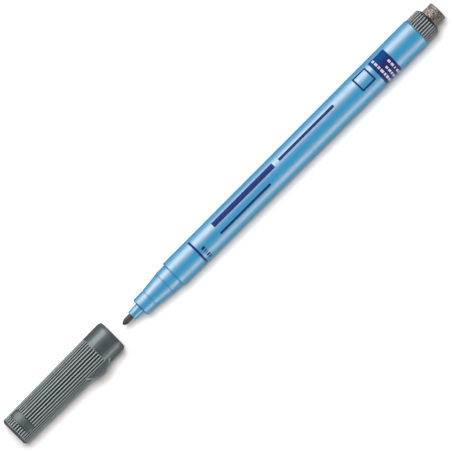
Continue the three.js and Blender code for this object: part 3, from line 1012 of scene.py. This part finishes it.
def rim_highlight(in_mm, turn, depth, centre, out, radius):
    """Painted highlight: one on the rim of an upright disc, where it stands out, and less on the disc's
    lower side.
    """
    away = length_of(mapped(in_mm, (1, 1, 0), (-centre, out, 0)))
    edge = within(away, radius - RIM_HIGHLIGHT_IN, radius + RIM_HIGHLIGHT_OUT, RIM_HIGHLIGHT_SOFT)
    tips = spread(turn, 1, RIM_HIGHLIGHT_UNDER_SHARE, TIPS_FROM, TIPS_TO)
    beyond = spread(depth, 1, 0, BEYOND_CRESTS, 0.0)
    return multiply(multiply(edge, tips), beyond)


# %% A dark plastic
SPARK_SHEEN = (0.88, 0.95, 1.0, 1)
SPARK_SKIN = (0.6, 0.62, 0.63, 1)
# The grooves are painted dark as painted shade, and the crests' band is painted pale as a painted
# highlight.
PAINTED_GROOVE_SHADE = (0.01, 0.012, 0.012, 1)
GROOVE_SHADE_SHARE, GROOVE_SHADE_FROM, GROOVE_SHADE_TO = 0.7, 0.08, 0.3
CREST_HIGHLIGHT_HIGH, CREST_HIGHLIGHT_LOW, CREST_HIGHLIGHT_SOFT = -0.015, 0.03, 0.05
RIBS_SOFT = 0.1
SMOOTHER, ROUGHER, PLAIN_ROUGHER = 0.05, 0.06, 0.12
MOTTLE, MOTTLE_SHARE = (260, 3), 0.6
SPECKS, SPECK_SHARE = 5200, 0.4
WEAR = (420, 3)
COARSE_GRAIN, COARSE_SHARE, FINE_GRAIN = (1500, 2), 0.8, (7000, 2)
SPARK_RELIEF = 0.006


def dark_plastic(name, greys_and_highlight, roughness, specular, start, outline, ribbed_mm, plain=(), rim=None):
    deep, light, painted_crest_highlight = greys_and_highlight
    finish, shader = new_finish(
        name, roughness, IOR=1.7, Specular_IOR_Level=specular, Specular_Tint=SPARK_SHEEN,
        Coat_Tint=SPARK_SKIN, **CLEAR_SKIN,
    )
    mottle = spread(pattern(finish, *MOTTLE), 0, MOTTLE_SHARE)
    mottle = add_values(mottle, cells(finish, SPECKS, SPECK_SHARE))
    grey = mix_colours(mottle, deep, light)
    in_mm, along, turn, depth = under_crests(finish, start, outline)
    on_ribs = within(along, *ribbed_mm, RIBS_SOFT)
    worn = spread(pattern(finish, *WEAR), roughness - SMOOTHER, roughness + ROUGHER)
    for place in plain:
        smooth_patch = patch(along, turn, *place)
        on_ribs = combine_values("SUBTRACT", on_ribs, smooth_patch)
        worn = add_values(worn, multiply(smooth_patch, PLAIN_ROUGHER))
    on_ribs = combine_values("MAXIMUM", on_ribs, 0)
    # Painted highlight on the crests and painted shade in the grooves, by depth below the crests.
    crest_highlight = multiply(on_ribs, within(depth, CREST_HIGHLIGHT_HIGH, CREST_HIGHLIGHT_LOW, CREST_HIGHLIGHT_SOFT))
    groove_shade = multiply(on_ribs, spread(depth, 0, GROOVE_SHADE_SHARE, GROOVE_SHADE_FROM, GROOVE_SHADE_TO))
    grey = mix_colours(crest_highlight, grey, painted_crest_highlight)
    grey = mix_colours(groove_shade, grey, PAINTED_GROOVE_SHADE)
    # Painted highlight on the lug's rim.
    if rim:
        grey = mix_colours(rim_highlight(in_mm, turn, depth, *rim), grey, painted_crest_highlight)
    coarse = spread(pattern(finish, *COARSE_GRAIN), 0, COARSE_SHARE, 0, 1)
    grain = add_values(pattern(finish, *FINE_GRAIN), coarse)
    put_on(shader, grey, worn, grain, SPARK_RELIEF)
    return finish


# %% Cap and plug finishes
# The third grey of each is the crests' painted highlight.
CAP_GREYS_AND_HIGHLIGHT = (0.06, 0.072, 0.072, 1), (0.085, 0.098, 0.096, 1), (0.42, 0.45, 0.46, 1)
PLUG_GREYS_AND_HIGHLIGHT = (0.055, 0.06, 0.058, 1), (0.078, 0.083, 0.08, 1), (0.42, 0.45, 0.45, 1)
CAP_CRESTS = (0, CAP_END_RADIUS), (CAP_LENGTH, CAP_RIM_RADIUS)
PLUG_CRESTS = (PLUG_FRONT, PLUG_RADIUS), (PLUG_REAR, PLUG_RADIUS)
BESIDE_PAD = 1
PAD_PATCH = (
    PAD_CENTRE - PAD_HALF_WIDTH, PAD_CENTRE + PAD_HALF_WIDTH, PAD_FROM - BESIDE_PAD, PAD_TO + BESIDE_PAD,
)
LUG_HALF_LENGTH = 4.7
LUG_FROM, LUG_TO = 49, 110
LUG_PATCH = (LUG_CENTRE - LUG_HALF_LENGTH, LUG_CENTRE + LUG_HALF_LENGTH, LUG_FROM, LUG_TO)
# Where the painted highlight on the lug's rim lies.
LUG_RIM_HIGHLIGHT = (LUG_CENTRE, lug_side + LUG_STAND - LUG_RADIUS, LUG_RADIUS)
CAP_ROUGHNESS, CAP_SPECULAR = 0.36, 0.4
PLUG_ROUGHNESS, PLUG_SPECULAR = 0.38, 0.42

cap_finish = dark_plastic(
    "grey_green_cap", CAP_GREYS_AND_HIGHLIGHT, CAP_ROUGHNESS, CAP_SPECULAR, CAP_START, CAP_CRESTS, CAP_RIBBED,
    [PAD_PATCH, LUG_PATCH], LUG_RIM_HIGHLIGHT,
)
plug_finish = dark_plastic(
    "grey_green_plug", PLUG_GREYS_AND_HIGHLIGHT, PLUG_ROUGHNESS, PLUG_SPECULAR, PEN_START, PLUG_CRESTS, PLUG_RIBBED
)
dress(cap_finish, cap)
dress(plug_finish, plug)

# %% [markdown]
# ## Felt, fibre and the hidden pieces
# The eraser is felted from pale, brown and dark fibres, which show as speckles, and its side towards -Y
# is darkened as painted shade. The nib's fibres all run along it and are soaked with ink. Seal, core and
# film are out of sight or nearly so, but each has its own finish too, because someone may take the cap
# or the barrel away.

# %% Eraser finish
FELT_SHEEN = (1.0, 0.82, 0.66, 1)
BROWNS = (0.042, 0.036, 0.035, 1), (0.2, 0.168, 0.15, 1)
# The felt's colour under its painted shade, and below, a pale fibre's colour there.
FELT_PAINTED_SHADE = (0.022, 0.021, 0.022, 1)
PALE_FIBRE = (0.5, 0.43, 0.38, 1)
PALE_FIBRE_IN_SHADE = (0.1, 0.095, 0.094, 1)
DARK_FIBRE = (0.006, 0.005, 0.006, 1)
# Where the painted shade lies: towards -Y.
PAINTED_SHADE_FROM, PAINTED_SHADE_TO = AXIS.y - 1.1 * MM, AXIS.y + 1.0 * MM
PAINTED_SHADE_SHARE = 0.8
LUMPS, LUMP_SHARE, TUFTS, TUFT_SHARE = 3000, 0.6, (1500, 3), 0.4
TUFT_FROM, TUFT_TO = 0.15, 0.85
PALE_FIBRES, PALE_SHARE, PALE_FROM, PALE_TO = (2100, 2), 0.95, 0.55, 0.59
DARK_FIBRES, DARK_FROM, DARK_TO = (1900, 2), 0.53, 0.57
FIBRE_STRETCH = (1, 1.2, 0.8)
FELT_ROUGHNESS, FUZZ_ROUGHNESS = 0.5, (0.4, 0.66)
FUZZ, FELT_RELIEF = (5000, 4), 0.06

felt, shader = new_finish(
    "speckled_felt", FELT_ROUGHNESS, Sheen_Weight=0.03, Sheen_Roughness=0.6, Specular_IOR_Level=0.4,
    Specular_Tint=FELT_SHEEN,
)
tufts = spread(pattern(felt, *TUFTS), 0, TUFT_SHARE)
tufts = add_values(cells(felt, LUMPS, LUMP_SHARE), tufts)
brown = mix_colours(spread(tufts, 0, 1, TUFT_FROM, TUFT_TO), *BROWNS)
# Painted shade: the felt is darkened on its side towards -Y.
painted_shade = spread(sideways_place(felt), PAINTED_SHADE_SHARE, 0, PAINTED_SHADE_FROM, PAINTED_SHADE_TO)
brown = mix_colours(painted_shade, brown, FELT_PAINTED_SHADE)
pale_fibres = pattern(felt, *PALE_FIBRES, stretch=FIBRE_STRETCH)
pale_fibres = spread(pale_fibres, 0, PALE_SHARE, PALE_FROM, PALE_TO)
# Pale fibres are darkened too under the painted shade.
brown = mix_colours(pale_fibres, brown, mix_colours(painted_shade, PALE_FIBRE, PALE_FIBRE_IN_SHADE))
dark_fibres = spread(pattern(felt, *DARK_FIBRES), 0, 1, DARK_FROM, DARK_TO)
brown = mix_colours(dark_fibres, brown, DARK_FIBRE)
fuzz = spread(tufts, *FUZZ_ROUGHNESS, 0, 1)
put_on(shader, brown, fuzz, pattern(felt, *FUZZ), FELT_RELIEF)
dress(felt, eraser)

# %% Nib and core finishes
STRANDS, STRAND_STRETCH, STRAND_RELIEF = (9000, 3), (0.06, 1, 1), 0.02
STRAND_UNEVEN = 0.1
NIB_ROUGHNESS, CORE_ROUGHNESS = 0.6, 0.75
INKED_GREYS = (0.014, 0.014, 0.015, 1), (0.046, 0.045, 0.046, 1)
CORE_WHITES = (0.5, 0.48, 0.43, 1), (0.68, 0.66, 0.61, 1)


def fibre(name, colours, roughness):
    finish, shader = new_finish(name, roughness, Specular_IOR_Level=0.25)
    strands = pattern(finish, *STRANDS, stretch=STRAND_STRETCH)
    colour = mix_colours(spread(strands, 0, 1), *colours)
    uneven = spread(strands, roughness - STRAND_UNEVEN, roughness + STRAND_UNEVEN)
    put_on(shader, colour, uneven, strands, STRAND_RELIEF)
    return finish


dress(fibre("inked_fibre", INKED_GREYS, NIB_ROUGHNESS), nib)
dress(fibre("core_fibre", CORE_WHITES, CORE_ROUGHNESS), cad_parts["reservoir_core"])

# %% Seal and film finishes
WAX_CLOUDS, WAX_UNEVEN = (500, 3), 0.06
WAX_GRAIN, WAX_RELIEF = (3000, 2), 0.004
SEAL_ROUGHNESS, FILM_ROUGHNESS = 0.45, 0.2
SEAL_WHITES = (0.62, 0.65, 0.62, 1), (0.74, 0.76, 0.73, 1)
FILM_WHITES = (0.74, 0.78, 0.82, 1), (0.82, 0.85, 0.88, 1)


def pale_plastic(name, whites, roughness):
    finish, shader = new_finish(name, roughness)
    clouds = pattern(finish, *WAX_CLOUDS)
    white = mix_colours(spread(clouds, 0, 1), *whites)
    uneven = spread(clouds, roughness - WAX_UNEVEN, roughness + WAX_UNEVEN)
    put_on(shader, white, uneven, pattern(finish, *WAX_GRAIN), WAX_RELIEF)
    return finish


dress(pale_plastic("seal_natural", SEAL_WHITES, SEAL_ROUGHNESS), seal)
dress(pale_plastic("sleeve_film", FILM_WHITES, FILM_ROUGHNESS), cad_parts["reservoir_film"])

# %% [markdown]
# ## Floor
# The pen lies on a plain white sheet, which the lamps light to white, and which keeps the pen's
# shadow. Far from the pen, where the lamps fade, the sheet glows a little for the camera and for
# reflections, so that the background is even from every side.

# %% Lay the floor
SHEET_SIZE = 16
SHEET_WHITE = (0.85, 0.838, 0.824, 1)
GLOW_FROM, GLOW_TO = 0.3, 1.2

let_go()
bpy.ops.mesh.primitive_plane_add(size=SHEET_SIZE, location=(0, 0, 0))
floor = bpy.context.object
floor.name = "studio_floor"
sheet = bpy.data.materials.new("white_sheet")
sheet.use_nodes = True
tree = sheet.node_tree
tree.nodes.clear()
ray = add_node(tree, "LightPath")
seen = add_values(ray.outputs["Is Camera Ray"], ray.outputs["Is Glossy Ray"])
seen = add_values(seen, ray.outputs["Is Transmission Ray"])
distant = spread(length_of(own_places(sheet)), 0, 1, GLOW_FROM, GLOW_TO)
lit = add_node(tree, "BsdfDiffuse", Color=SHEET_WHITE)
glow = add_node(tree, "Emission", Strength=multiply(seen, distant))
both = add_node(tree, "AddShader")
set_or_link(both.inputs[0], lit.outputs[0])
set_or_link(both.inputs[1], glow.outputs[0])
add_node(tree, "OutputMaterial", Surface=both.outputs[0])
dress(sheet, floor)

# %% [markdown]
# ## Light
# Two soft boxes stand low on both sides, and a smaller one hangs overhead and a little behind, which
# gives the short soft shadow in front. It is kept out of the reflections, so it draws no highlight on
# top. The two pale bands along the barrel come from two strips in the low boxes' places, the one
# behind the pen brighter. The strips are seen in reflections only, so that gloss and brightness can be
# set apart.

# %% A soft box
LAMP_DISTANCE = 1.5


def soft_box(name, degrees, length, height, radiance):
    """A lamp over the pen's middle, at an angle from straight up towards +Y, that faces the pen."""
    angle = math.radians(degrees)
    place = AXIS + LAMP_DISTANCE * Vector((0, math.sin(angle), math.cos(angle)))
    bpy.ops.object.light_add(type="AREA", location=place, rotation=(-angle, 0, 0))
    lamp = bpy.context.object
    lamp.name = lamp.data.name = name
    lamp.data.shape = "RECTANGLE"
    lamp.data.size, lamp.data.size_y = length, height
    lamp.data.energy = radiance * math.pi * length * height
    lamp.visible_camera = False
    return lamp


# %% Place the lamps
# Each lamp has its angle, its length and height in metres, and its radiance.
LAMPS = {
    "box_behind": (58, 2.25, 1.7, 0.9),
    "box_in_front": (-77, 1.9, 0.65, 3.8),
    "box_overhead": (14.5, 0.65, 0.65, 19.6),
    "strip_behind": (58.2, 1.5, 1.2, 10.3),
    "strip_in_front": (-76.3, 1.5, 0.53, 6.7),
}

let_go()
lamps = {name: soft_box(name, *sizes) for name, sizes in LAMPS.items()}
lamps["box_overhead"].visible_glossy = False
lamps["strip_behind"].visible_diffuse = False
lamps["strip_in_front"].visible_diffuse = False
print("lamps:", ", ".join(lamps))

# %% Light the surroundings
WORLD_WHITE = (1, 1, 1, 1)
WORLD_STRENGTH = 0.14

world = bpy.data.worlds.new("studio")
bpy.context.scene.world = world
world.use_nodes = True
surroundings = world.node_tree.nodes["Background"]
set_or_link(surroundings.inputs["Color"], WORLD_WHITE)
set_or_link(surroundings.inputs["Strength"], WORLD_STRENGTH)
bpy.context.scene.view_settings.view_transform = "Standard"

# %% [markdown]
# ## Camera
# The photograph looks down on the pen from far away, rolled so that the pen runs along the picture's
# diagonal, and leaning a little so that it looks towards the eraser. A long lens far off keeps the
# pen's two ends the same size. The lens is reckoned for a square frame, 452 pixels each way.

# %% Set up the camera
PIXELS = 452
MM_PER_PIXEL = 0.296
ROLL = math.radians(44.9)
LEAN = math.radians(2.5)
DISTANCE = 2.3
LOOK_AT = Vector((-1.08 * MM, -0.5 * MM, AXIS.z))

right = Vector((math.cos(ROLL) * math.cos(LEAN), -math.sin(ROLL), math.cos(ROLL) * math.sin(LEAN)))
upwards = Vector((math.sin(ROLL) * math.cos(LEAN), math.cos(ROLL), math.sin(ROLL) * math.sin(LEAN)))
backwards = right.cross(upwards)
turn_camera = Matrix((right, upwards, backwards)).transposed()
bpy.ops.object.camera_add(location=LOOK_AT + backwards * DISTANCE, rotation=turn_camera.to_euler())
camera = bpy.context.object
camera.name = "photo_camera"
camera.data.lens = camera.data.sensor_width * DISTANCE / (PIXELS * MM_PER_PIXEL * MM)
bpy.context.scene.camera = camera
print(f"lens {camera.data.lens:.0f} mm at {DISTANCE} m")
